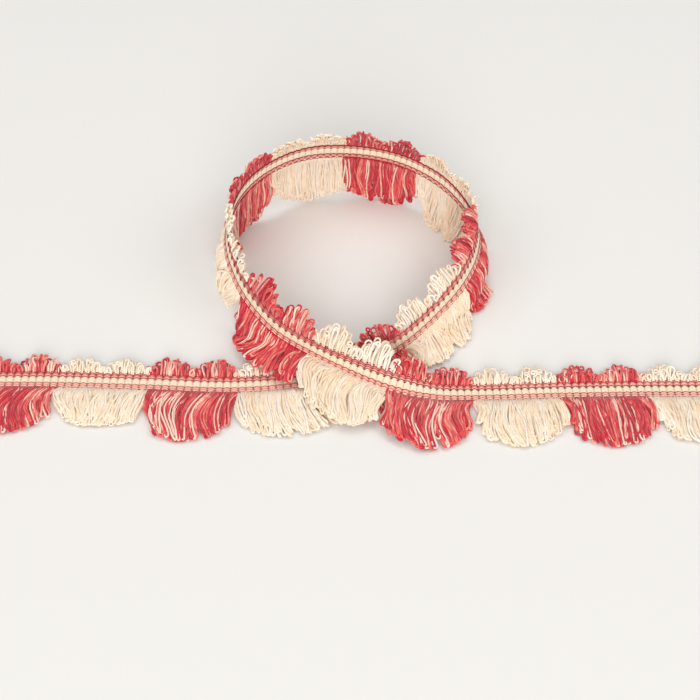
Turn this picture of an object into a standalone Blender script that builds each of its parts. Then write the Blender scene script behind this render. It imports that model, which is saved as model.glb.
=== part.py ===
"""Fan edge trim: a woven heading with long looped fans on one edge and small scallops on the other.

One length lies on a table and stands up in a single loop where it crosses over itself.
Metres, +Z up, the table is z = 0, and the length runs along X.
"""
import math

import bmesh
import bpy
import numpy as np
from mathutils import Vector

for old in list(bpy.data.objects):
    bpy.data.objects.remove(old)

MM = 0.001

# Driving dimensions, in millimetres
FANS = 18                # fans in the length, red and cream in turn
FIRST = -1               # place of the first fan's start along the lay, in fans
HEAD_WIDE = 8.8          # woven heading, edge to edge
HEAD_THICK = 1.5
PART_GAP = 0.4           # heading's edge to a backing strip
BACK_WIDE = 0.9          # backing strip that roots the loops
YARN_THICK = 1.2         # strip and loops
END_GAP = 0.012          # share of a fan left open at each end of its strip
LONG_REACH = 25.2        # longest loops, from their strip
SHORT_REACH = 7.2        # tallest scallop loops, from their strip
LONG_LOCKS = 8           # locks of long loops in a fan
SHORT_LOCKS = 4          # locks of short loops in a fan, two for each scallop
LOCK_SHARE = 0.7         # part of its pitch that a lock fills
SECTIONS = 6             # heading sections in a fan
BASE_MID = (0.1, 41.1)   # middle of the base, which becomes the origin

# The lay of the heading's middle line, a row for each fan or half fan.
# at: fans along the length.  x, y, z: millimetres.
# lean: turn of the heading from lying flat to upright, degrees.
# dip: how far below level the long loops point at their tips, degrees.
# sweep: turn of the long loops towards the length's far end, degrees.
# reach: share of the full loop length that shows.  bed: height of what lies under the loops.
COLUMNS = ("at", "x", "y", "z", "lean", "dip", "sweep", "reach", "bed")
LAY = (
    (-1.0, -159.5, 2.0, 0.0, 0, 0, 0, 1.00, 0.0),
    (0.0, -122.0, 1.9, 0.0, 0, 0, 0, 1.00, 0.0),
    (1.0, -84.7, 0.5, 0.0, 0, 0, 0, 1.00, 0.0),
    (2.0, -46.6, -1.0, 0.0, 0, 0, 0, 1.00, 0.0),
    (2.5, -28.1, 0.7, 0.0, 0, 0, 0, 1.00, 0.0),
    (3.0, -10.3, 4.2, 1.5, 8, 0, 0, 1.00, 0.0),
    (3.5, 6.2, 9.6, 4.6, 36, 8, -5, 0.95, 0.0),
    (4.0, 21.5, 18.5, 7.6, 79, 35, -12, 0.66, 0.0),
    (4.5, 35.7, 30.8, 12.2, 84, 50, -16, 0.68, 0.0),
    (5.0, 48.1, 46.1, 16.4, 86, 66, -16, 0.68, 0.0),
    (5.5, 55.1, 63.6, 18.2, 88, 76, -20, 0.64, 0.0),
    (6.0, 55.6, 81.4, 19.2, 88, 90, 10, 0.72, 0.0),
    (6.5, 45.3, 99.0, 22.8, 86, 114, 50, 0.90, 0.0),
    (7.0, 30.9, 110.3, 25.8, 82, 100, 30, 1.00, 0.0),
    (7.5, 14.9, 115.0, 28.9, 79, 92, 0, 1.00, 0.0),
    (8.0, -2.8, 115.9, 30.7, 79, 92, 0, 1.00, 0.0),
    (8.5, -20.4, 112.8, 31.6, 79, 92, 0, 1.00, 0.0),
    (9.0, -35.7, 104.1, 31.0, 80, 90, 0, 1.00, 0.0),
    (9.5, -46.6, 90.4, 30.6, 83, 86, 0, 1.00, 0.0),
    (10.0, -52.2, 74.4, 29.4, 86, 74, -12, 1.00, 0.0),
    (10.5, -52.4, 57.1, 25.5, 87, 58, -35, 0.90, 0.0),
    (11.0, -45.0, 37.2, 20.2, 87, 52, -42, 0.85, 0.0),
    (11.5, -32.0, 20.6, 15.5, 86, 46, -12, 0.90, 2.2),
    (12.0, -16.3, 10.9, 11.6, 84, 34, 16, 1.00, 2.6),
    (12.5, 0.3, 2.7, 8.9, 72, 24, 18, 1.00, 2.6),
    (13.0, 16.6, -4.4, 7.2, 50, 12, 10, 1.00, 1.8),
    (13.5, 33.1, -5.6, 2.2, 10, 0, 2, 1.00, 0.6),
    (14.0, 50.4, -5.5, 0.0, 0, 0, 0, 1.00, 0.0),
    (15.0, 86.4, -4.2, 0.0, 0, 0, 0, 1.00, 0.0),
    (16.0, 122.5, -3.4, 0.0, 0, 0, 0, 1.00, 0.0),
    (17.0, 159.5, -3.3, 0.0, 0, 0, 0, 1.00, 0.0),
)
PATH = {name: np.array([row[i] for row in LAY], float) for i, name in enumerate(COLUMNS)}
AT = PATH["at"]
UP = np.array([0.0, 0.0, 1.0])


def slopes(name):
    """Slope of a column at each row; except in x and y, a level stretch stays level."""
    step = np.diff(AT)
    rise = np.diff(PATH[name]) / step
    inner = (rise[:-1] * step[1:] + rise[1:] * step[:-1]) / (step[:-1] + step[1:])
    if name not in ("x", "y"):
        inner = np.where(rise[:-1] * rise[1:] <= 0, 0.0, inner)
    return np.concatenate(([rise[0]], inner, [rise[-1]]))


SLOPE = {name: slopes(name) for name in COLUMNS[1:]}


def lay(name, at):
    """A column read at any place, through a smooth curve."""
    value = PATH[name]
    i = int(np.clip(np.searchsorted(AT, at, side="right") - 1, 0, len(AT) - 2))
    h = AT[i + 1] - AT[i]
    t = (at - AT[i]) / h
    a, b = value[i], value[i + 1]
    ga, gb = SLOPE[name][i] * h, SLOPE[name][i + 1] * h
    c2, c3 = 3 * (b - a) - 2 * ga - gb, 2 * (a - b) + ga + gb
    return a + t * (ga + t * (c2 + t * c3))


def unit(v):
    return v / np.linalg.norm(v)


def lean_at(at):
    return math.radians(max(0.0, lay("lean", at)))


def middle(at):
    """Middle line of the heading; its lower edge never passes below the table."""
    lean = lean_at(at)
    edge = HEAD_WIDE / 2 + PART_GAP + BACK_WIDE
    low = edge * math.sin(lean) + HEAD_THICK / 2 * math.cos(lean)
    return np.array([lay("x", at), lay("y", at), max(lay("z", at), low)])


def station(at):
    """Middle point, way along, way across to the long loops, and the outer face's way."""
    ahead = middle(at + 0.02) - middle(at - 0.02)
    if lay("lean", at) < 0.5:
        ahead[2] = 0.0
    along = unit(ahead)
    side = unit(np.cross(along, UP))
    top = np.cross(side, along)
    across = math.cos(lean_at(at)) * side - math.sin(lean_at(at)) * top
    return middle(at), along, across, np.cross(across, along)


def metres(point):
    """Millimetres of the lay to metres of the part."""
    return Vector(((point[0] - BASE_MID[0]) * MM, (point[1] - BASE_MID[1]) * MM, point[2] * MM))


def bar_section(at, near, far, low, high):
    """Four corners of a bar along the heading: near to far across it, low to high off its face."""
    p, _, across, out = station(at)
    corners = ((near, low), (far, low), (far, high), (near, high))
    return [metres(p + w * across + n * out) for w, n in corners]


def push(bm, face, old, new):
    """Extrude one face so that its old corners go to the new ones."""
    made = bmesh.ops.extrude_discrete_faces(bm, faces=[face])["faces"][0]
    for v in made.verts:
        v.co = new[min(range(4), key=lambda i: (old[i] - v.co).length)]
    return made


def bar(places, near, far, low, high):
    """A closed bar extruded from section to section along the heading."""
    bm = bmesh.new()
    rings = [bar_section(at, near, far, low, high) for at in places]
    face = bm.faces.new([bm.verts.new(c) for c in rings[0]])
    for old, new in zip(rings, rings[1:]):
        face = push(bm, face, old, new)
    bmesh.ops.holes_fill(bm, edges=[e for e in bm.edges if e.is_boundary])
    return bm, rings


def fan_edge(u):
    """Outline of a fan across its width, as a share of its longest loop."""
    return 0.42 + 0.58 * math.sqrt(max(0.0, 1 - (2 * u - 1) ** 2))


def scallop_edge(u):
    """Outline of the two scallops over a fan."""
    return 0.52 + 0.48 * math.sin(math.pi * (2 * u % 1.0)) ** 0.8


def loop_ways(at, kind):
    """Ways that a loop takes at its root and its tip, and the height it rests at."""
    _, along, across, _ = station(at)
    if kind == "short":
        return -across, -across, YARN_THICK / 2
    flat = unit(along * (1, 1, 0))
    side = np.cross(flat, UP)
    dip, sweep = math.radians(lay("dip", at)), math.radians(lay("sweep", at))
    level = math.cos(sweep) * side + math.sin(sweep) * flat
    rest = YARN_THICK / 2 + max(0.0, lay("bed", at))
    return across, math.cos(dip) * level - math.sin(dip) * UP, rest


def strand(root, at, kind, length, steps=24):
    """Middle line of a loop that leaves its strip, hangs, and comes to rest."""
    first, aim, rest = loop_ways(at, kind)
    rest = min(rest, max(root[2], YARN_THICK / 2))
    step = length / steps
    line, way = [np.array(root)], first
    for k in range(steps):
        turn = min(1.0, (k + 0.5) / steps / 0.5)
        way = unit(first + (aim - first) * turn * turn * (3 - 2 * turn))
        room = line[-1][2] - rest
        if way[2] < 0 and room < 3.0:
            level = unit(way * (1, 1, 0)) if np.hypot(way[0], way[1]) > 0.05 else unit(aim * (1, 1, 0))
            share = max(0.0, room) / 3.0
            way = unit(level * (1 - share) + way * share)
        point = line[-1] + way * step
        point[2] = max(point[2], rest)
        line.append(point)
    return line


def lock_sections(old, at, kind, lengths):
    """Sections of a lock from its root face outward, its tip slanted to the fan's outline."""
    centre = sum((np.array(c) for c in old), np.zeros(3)) / 4 / MM
    centre += (BASE_MID[0], BASE_MID[1], 0)
    left, right = lengths
    line = strand(centre, at, kind, (left + right) / 2)
    shares = (0.22, 0.5, 0.78, 1.0) if kind == "long" else (0.5, 1.0)
    half = (right - left) / 2
    width = (old[1] - old[0]).length / MM / 2
    _, along, _, _ = station(at)
    made = []
    for share in shares:
        i = round(share * (len(line) - 1))
        way = unit(line[min(i + 1, len(line) - 1)] - line[max(i - 1, 0)])
        flat = unit(along * (1, 1, 1 - share))
        top = unit(np.cross(way, flat) * (1 if kind == "long" else -1))
        side = unit(np.cross(top, way) * (1 if kind == "long" else -1))
        tilt = half * share * way if share == 1.0 else 0 * way
        wide = width * abs(side @ flat)
        p = line[i]
        low, high = -YARN_THICK / 2 * top, YARN_THICK / 2 * top
        corners = [
            p - wide * side - tilt + low,
            p + wide * side + tilt + low,
            p + wide * side + tilt + high,
            p - wide * side - tilt + high,
        ]
        lift = max(0.0, -min(c[2] for c in corners)) * UP
        made.append([metres(c + lift) for c in corners])
    return made


def fringe(name, first, kind, locks, reach, edge):
    """One fan's loops of one kind, rooted in their own strip beside the heading."""
    start, end = first + END_GAP, first + 1 - END_GAP
    pitch = (end - start) / locks
    cuts = [start]
    for i in range(locks):
        cuts += [start + pitch * (i + 0.5 - LOCK_SHARE / 2), start + pitch * (i + 0.5 + LOCK_SHARE / 2)]
    cuts.append(end)
    near = HEAD_WIDE / 2 + PART_GAP
    low = -HEAD_THICK / 2
    if kind == "long":
        bm, rings = bar(cuts, near, near + BACK_WIDE, low, low + YARN_THICK)
        outer = (1, 2)
    else:
        bm, rings = bar(cuts, -near - BACK_WIDE, -near, low, low + YARN_THICK)
        outer = (0, 3)
    bm.verts.ensure_lookup_table()
    for i in range(locks):
        a, b = rings[2 * i + 1], rings[2 * i + 2]
        old = [a[outer[0]], b[outer[0]], b[outer[1]], a[outer[1]]]
        middle_point = sum(old, Vector()) / 4
        face = min(bm.faces, key=lambda f: (f.calc_center_median() - middle_point).length)
        at = (cuts[2 * i + 1] + cuts[2 * i + 2]) / 2
        lengths = [reach * lay("reach", at) * edge((c - first)) for c in cuts[2 * i + 1:2 * i + 3]]
        for new in lock_sections(old, at, kind, lengths):
            face = push(bm, face, old, new)
            old = new
    return bm


def add(name, bm, colour, group):
    """Close the solid's normals and keep it as a named object."""
    bmesh.ops.recalc_face_normals(bm, faces=list(bm.faces))
    mesh = bpy.data.meshes.new(name)
    bm.to_mesh(mesh)
    bm.free()
    mesh.materials.append(colour)
    group.objects.link(bpy.data.objects.new(name, mesh))


def material(name, colour):
    made = bpy.data.materials.new(name)
    made.use_nodes = True
    shader = made.node_tree.nodes["Principled BSDF"]
    shader.inputs["Base Color"].default_value = (*colour, 1.0)
    shader.inputs["Roughness"].default_value = 0.9
    return made


WOVEN = material("woven_heading", (0.86, 0.62, 0.5))
RED = material("red_yarn", (0.62, 0.07, 0.08))
CREAM = material("cream_yarn", (0.93, 0.86, 0.71))

trim = bpy.data.collections.new("fan_edge_trim")
bpy.context.scene.collection.children.link(trim)

sections = [FIRST + i / SECTIONS for i in range(FANS * SECTIONS + 1)]
body, _ = bar(sections, -HEAD_WIDE / 2, HEAD_WIDE / 2, -HEAD_THICK / 2, HEAD_THICK / 2)
add("heading", body, WOVEN, trim)

for fan in range(FANS):
    colour = RED if fan % 2 == 0 else CREAM
    long_loops = fringe("long", FIRST + fan, "long", LONG_LOCKS, LONG_REACH, fan_edge)
    add(f"fan_{fan + 1:02d}", long_loops, colour, trim)
    short_loops = fringe("short", FIRST + fan, "short", SHORT_LOCKS, SHORT_REACH, scallop_edge)
    add(f"scallops_{fan + 1:02d}", short_loops, colour, trim)
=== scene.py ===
"""Looks of the fan edge trim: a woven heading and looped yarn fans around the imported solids."""
import math

import bpy
import numpy as np
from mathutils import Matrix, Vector


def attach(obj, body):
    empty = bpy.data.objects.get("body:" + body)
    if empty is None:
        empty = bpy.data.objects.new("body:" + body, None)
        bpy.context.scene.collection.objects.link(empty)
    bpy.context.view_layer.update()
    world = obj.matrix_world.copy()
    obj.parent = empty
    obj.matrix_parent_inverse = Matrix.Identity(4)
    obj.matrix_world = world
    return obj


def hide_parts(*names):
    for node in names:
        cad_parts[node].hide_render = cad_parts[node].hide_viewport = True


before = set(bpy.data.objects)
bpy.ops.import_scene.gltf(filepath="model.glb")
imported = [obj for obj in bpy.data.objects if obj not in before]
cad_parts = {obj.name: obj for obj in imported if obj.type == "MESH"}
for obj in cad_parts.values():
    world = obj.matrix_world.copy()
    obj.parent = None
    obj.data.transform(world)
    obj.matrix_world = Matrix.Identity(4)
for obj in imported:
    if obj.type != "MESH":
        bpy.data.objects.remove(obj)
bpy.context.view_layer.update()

MM = 0.001

# Counts and sizes shared with the solids; all lengths are in millimetres. FIRST is the place
# along the lay where the first fan starts, and BASE_MID the middle of the solids' base.
FANS = 18
FIRST = -1
HEAD_WIDE = 8.8
HEAD_THICK = 1.5
STRIP = 1.3
LONG_REACH = 25.7
SHORT_REACH = 8.2
BASE_MID = (0.1, 41.1)

# Ribs a fan and their pitch, the yarn's radius, the long and short loops of each rib, which
# loop of a rib always has its full length, and the gap that yarn keeps to the table
RIBS = 12
RIB_PITCH = 3.1
YARN_R = 0.46
LOOPS = 8
CURLS = 4
FULL_LOOP = 1
OFF_TABLE = 0.02

# The lay of the trim, as listed: the place along it in fans, the heading's middle line,
# then in degrees how far the heading is tipped from flat towards standing on its long loops,
# how far those hang below level, and how far they swing towards the far end, then their reach
# as a share of the full one, and how thick the bed of other yarn is that they rest on, in
# steps of BED_RISE.
COLUMNS = ("at", "x", "y", "z", "lean", "dip", "sweep", "reach", "bed")
LAY = (
    (-1.0, -159.5, 2.0, 0.0, 0, 0, 0, 1.00, 0.0),
    (0.0, -122.0, 1.9, 0.0, 0, 0, 0, 1.00, 0.0),
    (1.0, -84.7, 0.5, 0.0, 0, 0, 0, 1.00, 0.0),
    (2.0, -46.6, -1.0, 0.0, 0, 0, 0, 1.00, 0.0),
    (2.5, -28.1, 0.7, 0.0, 0, 0, 0, 1.00, 0.0),
    (3.0, -10.3, 4.2, 1.5, 8, 0, 0, 1.00, 0.0),
    (3.5, 6.2, 9.6, 4.6, 36, 8, -5, 0.95, 0.0),
    (4.0, 21.5, 18.5, 7.6, 79, 35, -12, 0.66, 0.0),
    (4.5, 35.7, 30.8, 12.2, 77, 50, -16, 0.68, 0.0),
    (5.0, 48.1, 46.1, 16.4, 70, 79, -16, 0.68, 0.0),
    (5.5, 55.1, 63.6, 18.2, 70, 91, -20, 0.64, 0.0),
    (6.0, 55.6, 81.4, 19.2, 80, 99, 10, 0.72, 0.0),
    (6.5, 45.3, 99.0, 22.8, 86, 114, 50, 0.90, 0.0),
    (7.0, 30.9, 110.3, 25.8, 82, 100, 30, 1.00, 0.0),
    (7.5, 14.9, 115.0, 28.9, 79, 92, 0, 1.00, 0.0),
    (8.0, -2.8, 115.9, 30.7, 79, 92, 0, 1.00, 0.0),
    (8.5, -20.4, 112.8, 31.6, 79, 92, 0, 1.00, 0.0),
    (9.0, -35.7, 104.1, 31.0, 80, 90, 0, 1.00, 0.0),
    (9.5, -46.6, 90.4, 30.6, 83, 86, 0, 1.00, 0.0),
    (10.0, -52.2, 74.4, 29.4, 80, 95, -12, 1.00, 0.0),
    (10.5, -52.4, 57.1, 25.5, 73, 83, -35, 0.90, 0.0),
    (11.0, -45.0, 37.2, 20.2, 73, 66, -42, 0.85, 0.0),
    (11.5, -32.0, 20.6, 15.5, 79, 51, -12, 0.90, 2.2),
    (12.0, -16.3, 10.9, 11.6, 84, 34, 16, 1.00, 2.6),
    (12.5, 0.3, 2.7, 8.9, 72, 24, 18, 1.00, 2.6),
    (13.0, 16.6, -4.4, 7.2, 50, 12, 10, 1.00, 1.8),
    (13.5, 33.1, -5.6, 2.2, 10, 0, 2, 1.00, 0.6),
    (14.0, 50.4, -5.5, 0.0, 0, 0, 0, 1.00, 0.0),
    (15.0, 86.4, -4.2, 0.0, 0, 0, 0, 1.00, 0.0),
    (16.0, 122.5, -3.4, 0.0, 0, 0, 0, 1.00, 0.0),
    (17.0, 159.5, -3.3, 0.0, 0, 0, 0, 1.00, 0.0),
)

# Each fan's own looks: the reach of its long and short loops against the even ones, how
# many degrees its short loops lean towards the upper face, the length at its first and last
# rib as a share of its longest, then how far the long loops stray towards the far end, in
# millimetres, halfway down and at the tip, for its first, middle and last ribs, how rosy the
# heading is there, and the share of its ribs that have pale yarns in their outer layers.
FAN_COLUMNS = ("long", "short", "lean", "first", "last", "half_first", "half_mid", "half_last",
               "tip_first", "tip_mid", "tip_last", "rose", "pale")
FAN_TABLE = (
    (0.95, 1.00, 8, 0.60, 0.40, -5.0, -6.0, -2.0, -4.0, -4.5, -1.5, 0.8, 0.5),
    (0.75, 0.84, 8, 0.38, 0.80, -1.0, -2.5, -1.0, 2.0, -2.5, -1.0, 0.5, 0.0),
    (1.00, 1.00, 8, 0.40, 0.45, 0.5, -6.0, -2.0, 3.0, -1.5, -3.5, 0.9, 0.5),
    (0.95, 1.00, 8, 0.55, 0.60, -0.5, -1.5, -2.0, 1.0, 3.0, 4.0, 0.7, 0.0),
    (1.00, 1.00, -10, 0.50, 0.50, 0.0, -1.0, -1.0, 1.0, -1.0, -2.0, 0.8, 0.25),
    (1.12, 1.10, -38, 0.26, 0.62, 0.0, 0.0, -0.5, 0.0, -1.8, -4.5, 0.5, 0.0),
    (1.16, 1.15, -45, 0.50, 0.50, 0.0, -0.5, 0.0, -2.0, -2.5, -3.5, 0.8, 0.3),
    (0.92, 0.95, -10, 0.40, 0.26, 0.0, 0.5, 1.0, 1.5, 1.5, 1.5, 0.5, 0.0),
    (0.92, 1.00, -10, 0.30, 0.80, 0.8, 0.8, -0.3, -0.5, -1.0, -0.5, 1.0, 0.6),
    (0.95, 0.76, -10, 0.60, 0.05, -0.5, 0.0, 0.0, -1.0, -0.5, -1.0, 0.5, 0.0),
    (1.08, 0.84, -8, 0.40, 0.45, 0.0, 0.0, 0.0, 1.5, 1.0, 0.0, 0.9, 0.25),
    (0.74, 0.80, -12, 0.18, 0.50, 0.0, 0.0, 0.0, 0.5, 0.0, -0.5, 0.5, 0.0),
    (0.77, 1.28, -34, 0.22, 0.75, 3.0, 0.5, -1.0, 6.5, 1.0, -1.0, 0.9, 0.35),
    (0.96, 1.35, -36, 0.50, 0.42, -1.5, -2.0, -1.0, 1.0, 0.5, -0.5, 0.7, 0.0),
    (0.99, 1.00, 4, 0.44, 0.30, 0.5, -4.0, -2.0, 2.0, -2.5, -2.0, 0.8, 0.4),
    (0.94, 0.95, 8, 0.12, 0.26, 0.5, -1.0, 2.0, 3.0, 1.0, 0.5, 0.4, 0.0),
    (0.98, 1.00, 8, 0.20, 0.42, 1.5, -0.5, 3.0, 3.5, 3.5, 1.0, 0.7, 0.4),
    (0.90, 0.95, 8, 0.20, 0.40, 0.5, 0.5, 0.0, 3.0, 3.0, 1.0, 0.5, 0.0),
)
FAN = [dict(zip(FAN_COLUMNS, row)) for row in FAN_TABLE]

PATH = {name: np.array([row[i] for row in LAY], float) for i, name in enumerate(COLUMNS)}
AT = PATH["at"]
UP = np.array([0.0, 0.0, 1.0])
TURN = 2 * math.pi
rng = np.random.default_rng(18)


def slopes(name):
    """Slope of a column at each row; except in x and y, a level stretch stays level."""
    step = np.diff(AT)
    rise = np.diff(PATH[name]) / step
    inner = (rise[:-1] * step[1:] + rise[1:] * step[:-1]) / (step[:-1] + step[1:])
    if name not in ("x", "y"):
        inner = np.where(rise[:-1] * rise[1:] <= 0, 0.0, inner)
    return np.concatenate(([rise[0]], inner, [rise[-1]]))


SLOPE = {name: slopes(name) for name in COLUMNS[1:]}


def lay(name, at):
    """A column read at any places, through a smooth curve."""
    at = np.asarray(at, float)
    value = PATH[name]
    i = np.clip(np.searchsorted(AT, at, side="right") - 1, 0, len(AT) - 2)
    h = AT[i + 1] - AT[i]
    t = (at - AT[i]) / h
    a, b = value[i], value[i + 1]
    slope_a, slope_b = SLOPE[name][i] * h, SLOPE[name][i + 1] * h
    square = 3 * (b - a) - 2 * slope_a - slope_b
    cube = 2 * (a - b) + slope_a + slope_b
    return a + t * (slope_a + t * (square + t * cube))


def unit(v):
    """The same way with a length of one."""
    return v / np.linalg.norm(v, axis=-1, keepdims=True)


def smooth(x):
    """Eases from 0 to 1 as x does."""
    x = np.clip(x, 0.0, 1.0)
    return x * x * (3 - 2 * x)


def arch(x):
    """0 at both ends of 0 to 1, and 1 halfway."""
    return np.sin(math.pi * np.clip(x, 0, 1))


def lean_at(at):
    """How far the heading is tipped, in radians."""
    return np.radians(np.maximum(0.0, lay("lean", at)))


def middle(at):
    """Middle line of the heading, kept above the table as the solids have it."""
    lean = lean_at(at)
    low = (HEAD_WIDE / 2 + STRIP) * np.sin(lean) + HEAD_THICK / 2 * np.cos(lean)
    return np.stack([lay("x", at), lay("y", at), np.maximum(lay("z", at), low)], -1)


# How far ahead and back the heading's direction is read, in fans, and the lean in degrees
# under which it runs level
AHEAD = 0.02
FLAT_LEAN = 0.5


def station(at):
    """Middle points and the ways along, across to the long loops, and out of the face."""
    at = np.asarray(at, float)
    ahead = middle(at + AHEAD) - middle(at - AHEAD)
    ahead[..., 2] = np.where(lay("lean", at) < FLAT_LEAN, 0.0, ahead[..., 2])
    along = unit(ahead)
    side = unit(np.cross(along, UP))
    top = np.cross(side, along)
    lean = lean_at(at)[..., None]
    across = np.cos(lean) * side - np.sin(lean) * top
    return middle(at), along, across, np.cross(across, along)


def to_part(points):
    """Millimetres of the lay to metres of the part."""
    return (np.asarray(points) - (BASE_MID[0], BASE_MID[1], 0.0)) * MM


def fan_edge(row, u):
    """Length of a fan's loops across it, as a share of the longest."""
    end = row["first"] if u < 0.5 else row["last"]
    return end + (1 - end) * math.sqrt(max(0.0, 1 - (2 * u - 1) ** 2))


# Length of the short loops at a hump's ends, as a share of the longest, and how round it is
SCALLOP_END = 0.14
SCALLOP_ROUND = 0.85


def scallop_edge(u):
    """Length of the short loops across a fan, as a share of the longest: two humps."""
    hump = math.sin(math.pi * (2 * u % 1.0)) ** SCALLOP_ROUND
    return SCALLOP_END + (1 - SCALLOP_END) * hump


# Strands of loops: how far in from the heading's edge and under its middle plane they start, how high
# they rest, in how many steps they are drawn, by which share of their length they have turned
# to their own way, how high over its rest a falling strand begins to level off, and the
# level share of a way under which it falls too steeply to have a level way of its own
ROOT_INSET = 0.7
LONG_SINK = 0.25
SHORT_SINK = 0.1
REST_GAP = 0.1
BED_RISE = 1.25
STRAND_STEPS = 28
TURNED_BY = 0.5
LANDING = 3.0
TOO_STEEP = 0.05


def hanging_way(at, along):
    """The way that long loops take once they have turned, from their dip and sweep."""
    flat = unit(along * (1, 1, 0))
    side = np.cross(flat, UP)
    dip = math.radians(lay("dip", at))
    sweep = math.radians(lay("sweep", at))
    level = math.cos(sweep) * side + math.sin(sweep) * flat
    return math.cos(dip) * level - math.sin(dip) * UP


def level_off(way, aim, share):
    """A falling way bent towards level, where it is level at share 0 and unchanged at 1."""
    level = way * (1, 1, 0)
    if np.hypot(level[0], level[1]) < TOO_STEEP:
        level = aim * (1, 1, 0)
    return unit(unit(level) * (1 - share) + way * share)


def strand_line(root, first, aim, rest, step):
    """Points down a strand: it turns from its first way to its aim, then comes to rest."""
    line = [root]
    for k in range(STRAND_STEPS):
        turn = smooth((k + 0.5) / STRAND_STEPS / TURNED_BY)
        way = unit(first + (aim - first) * turn)
        room = line[-1][2] - rest
        if way[2] < 0 and room < LANDING:
            way = level_off(way, aim, max(0.0, room) / LANDING)
        point = line[-1] + way * step
        point[2] = max(point[2], rest)
        line.append(point)
    return np.array(line)


class Strand:
    """Middle line of one rib's loops, from the heading's edge to where they rest."""

    def __init__(self, at, kind, length, lift=0.0):
        p, along, across, out = station(at)
        edge = HEAD_WIDE / 2 - ROOT_INSET
        rest = YARN_R + REST_GAP
        if kind == "long":
            turned = 1.0
            first, aim = across, hanging_way(at, along)
            root = p + edge * across - LONG_SINK * out
            rest = rest + BED_RISE * max(0.0, float(lay("bed", at)))
        else:
            turned = -1.0
            first, aim = -across, unit(-across + math.tan(math.radians(lift)) * out)
            root = p - edge * across - SHORT_SINK * out
        rest = min(rest, max(root[2], YARN_R))
        self.line = strand_line(root, first, aim, rest, length / STRAND_STEPS)
        self.at = np.linspace(0, length, STRAND_STEPS + 1)
        ways = unit(np.gradient(self.line, axis=0))
        share = np.linspace(0, 1, STRAND_STEPS + 1)[:, None]
        flats = unit(along * np.concatenate([np.ones((STRAND_STEPS + 1, 2)), 1 - share], 1))
        self.top = unit(np.cross(ways, flats)) * turned
        self.side = unit(np.cross(self.top, ways)) * turned

    def read(self, values, far):
        """Points or ways of the strand at the distances far along it."""
        return np.stack([np.interp(far, self.at, values[:, j]) for j in range(3)], -1)

    def place(self, far, sideways, height):
        """Points at a distance along, sideways towards the length's far end, and above."""
        top = self.read(self.top, far)
        beside = self.read(self.line, far) + self.read(self.side, far) * sideways[:, None]
        return beside + top * height[:, None], top


def sleeve_corners(rings, around):
    """For every quad of a sleeve, its own corner of a ring and the next one around."""
    start = np.arange(rings - 1)[:, None] * around
    own = np.arange(around)[None, :]
    return start + own, start + (own + 1) % around


def add_uv(mesh, pairs):
    """Gives the mesh a UV map, with a pair for each face corner."""
    uv = mesh.uv_layers.new(name="UVMap")
    uv.data.foreach_set("uv", pairs.astype(np.float32).ravel())


def add_values(mesh, name, values):
    """Gives each point of the mesh a number that its material reads."""
    made = mesh.attributes.new(name, "FLOAT", "POINT")
    made.data.foreach_set("value", values.astype(np.float32))


def add_object(name, data):
    """Puts a mesh, light or camera in the scene."""
    made = bpy.data.objects.new(name, data)
    bpy.context.scene.collection.objects.link(made)
    return made


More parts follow.
